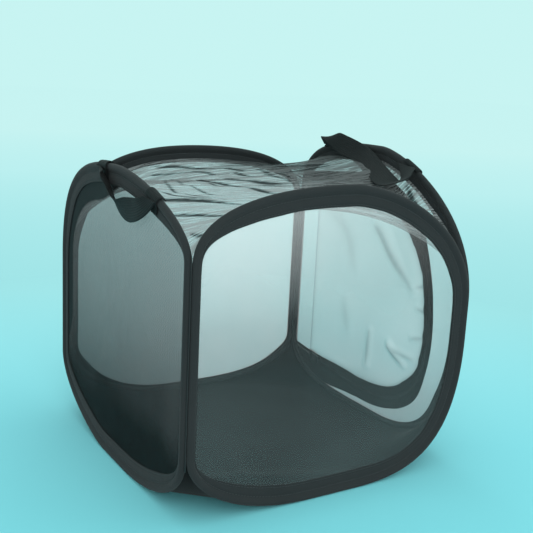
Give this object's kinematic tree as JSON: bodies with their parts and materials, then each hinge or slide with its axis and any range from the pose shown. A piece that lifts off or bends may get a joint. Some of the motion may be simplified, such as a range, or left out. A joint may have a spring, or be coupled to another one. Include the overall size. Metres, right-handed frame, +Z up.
{
  "type": "mesh insect cage",
  "caption": "Pop-up square insect cage: sprung wire hoops in cloth sleeves, clear front sheet, mesh sides and roof, zipped door flap, cloth floor and webbing carrying handles.",
  "frame": {"origin": "on the ground, under the middle of the bounding box of the whole cage with its handles", "axes": "+Z up; +X towards the side with the zipped door; +Y towards the back, away from the clear front sheet"},
  "size_m": [0.336, 0.3062, 0.3076],
  "materials": {
    "sleeve_cloth": "matte woven binding tape",
    "spring_wire": "drawn spring wire",
    "crimp_steel": "crimped tube, satin",
    "clear_sheet": "clear and glossy",
    "side_mesh": "fine open net",
    "roof_mesh": "fine open net, loosely creased",
    "floor_fabric": "matte close-woven cloth",
    "zip_tape": "woven tape with a nylon coil",
    "slider_metal": "satin black enamel",
    "seam_thread": "close stitching",
    "webbing": "ribbed webbing"
  },
  "bodies": {
    "front_frame": {"front_sleeve": "sleeve_cloth", "front_wire": "spring_wire", "front_ferrule": "crimp_steel", "window_panel": "clear_sheet", "top_cover": "roof_mesh", "floor_cloth": "floor_fabric", "seam_front_left": "seam_thread", "seam_front_right": "seam_thread"},
    "left_frame": {"left_sleeve": "sleeve_cloth", "left_wire": "spring_wire", "left_ferrule": "crimp_steel", "left_mesh": "side_mesh", "left_handle_patch_1": "webbing", "left_handle_patch_2": "webbing", "seam_back_left": "seam_thread"},
    "back_frame": {"back_sleeve": "sleeve_cloth", "back_wire": "spring_wire", "back_ferrule": "crimp_steel", "back_mesh": "side_mesh", "seam_back_right": "seam_thread"},
    "right_frame": {"right_sleeve": "sleeve_cloth", "right_wire": "spring_wire", "right_ferrule": "crimp_steel", "right_mesh": "side_mesh", "zip_tape_frame": "zip_tape", "right_handle_patch_1": "webbing", "right_handle_patch_2": "webbing"},
    "door": {"door_mesh": "side_mesh", "zip_tape_door": "zip_tape"},
    "zip_slider": {"zip_slider": "slider_metal"},
    "zip_pull": {"zip_pull": "slider_metal"},
    "left_handle": {"left_handle": "webbing"},
    "right_handle": {"right_handle": "webbing"}
  },
  "joints": [
    {"name": "left_fold", "type": "hinge", "parent": "front_frame", "child": "left_frame", "pos_m": [-0.13386, -0.1458, 0], "axis": [0, 0, -1], "range_deg": [0, 90], "deforming": ["top_cover", "floor_cloth", "right_handle"]},
    {"name": "right_fold", "type": "hinge", "parent": "front_frame", "child": "right_frame", "pos_m": [0.16124, -0.1493, 0], "axis": [0, 0, -1], "range_deg": [0, 90], "deforming": ["top_cover", "floor_cloth", "right_handle"]},
    {"name": "back_fold", "type": "hinge", "parent": "left_frame", "child": "back_frame", "pos_m": [-0.13736, 0.1493, 0], "axis": [0, 0, 1], "range_deg": [0, 90], "deforming": ["top_cover", "floor_cloth", "right_handle"]},
    {"name": "door_hinge", "type": "hinge", "parent": "right_frame", "child": "door", "pos_m": [0.16254, 0.11, 0], "axis": [0, 0, 1], "range_deg": [0, 140]},
    {"name": "slider_run", "type": "slide", "parent": "right_frame", "child": "zip_slider", "axis": [0, -0.9933, -0.1159], "range_m": [0, 0.07]},
    {"name": "pull_hinge", "type": "hinge", "parent": "zip_slider", "child": "zip_pull", "pos_m": [0.16614, 0.09609, 0.03438], "axis": [0, 0.1159, -0.9933], "range_deg": [0, 150]},
    {"name": "left_handle_swing", "type": "hinge", "parent": "left_frame", "child": "left_handle", "pos_m": [-0.13806, 0.03, 0.2816], "axis": [0, 0.9922, 0.1244], "range_deg": [0, 130]},
    {"name": "right_handle_swing", "type": "hinge", "parent": "right_frame", "child": "right_handle", "pos_m": [0.16194, 0.09, 0.29284], "axis": [0, 0.9981, 0.0615], "range_deg": [0, 144]}
  ],
  "couplings": [
    {"joint": "right_fold", "follows": "left_fold", "ratio": 1},
    {"joint": "back_fold", "follows": "left_fold", "ratio": 1}
  ]
}
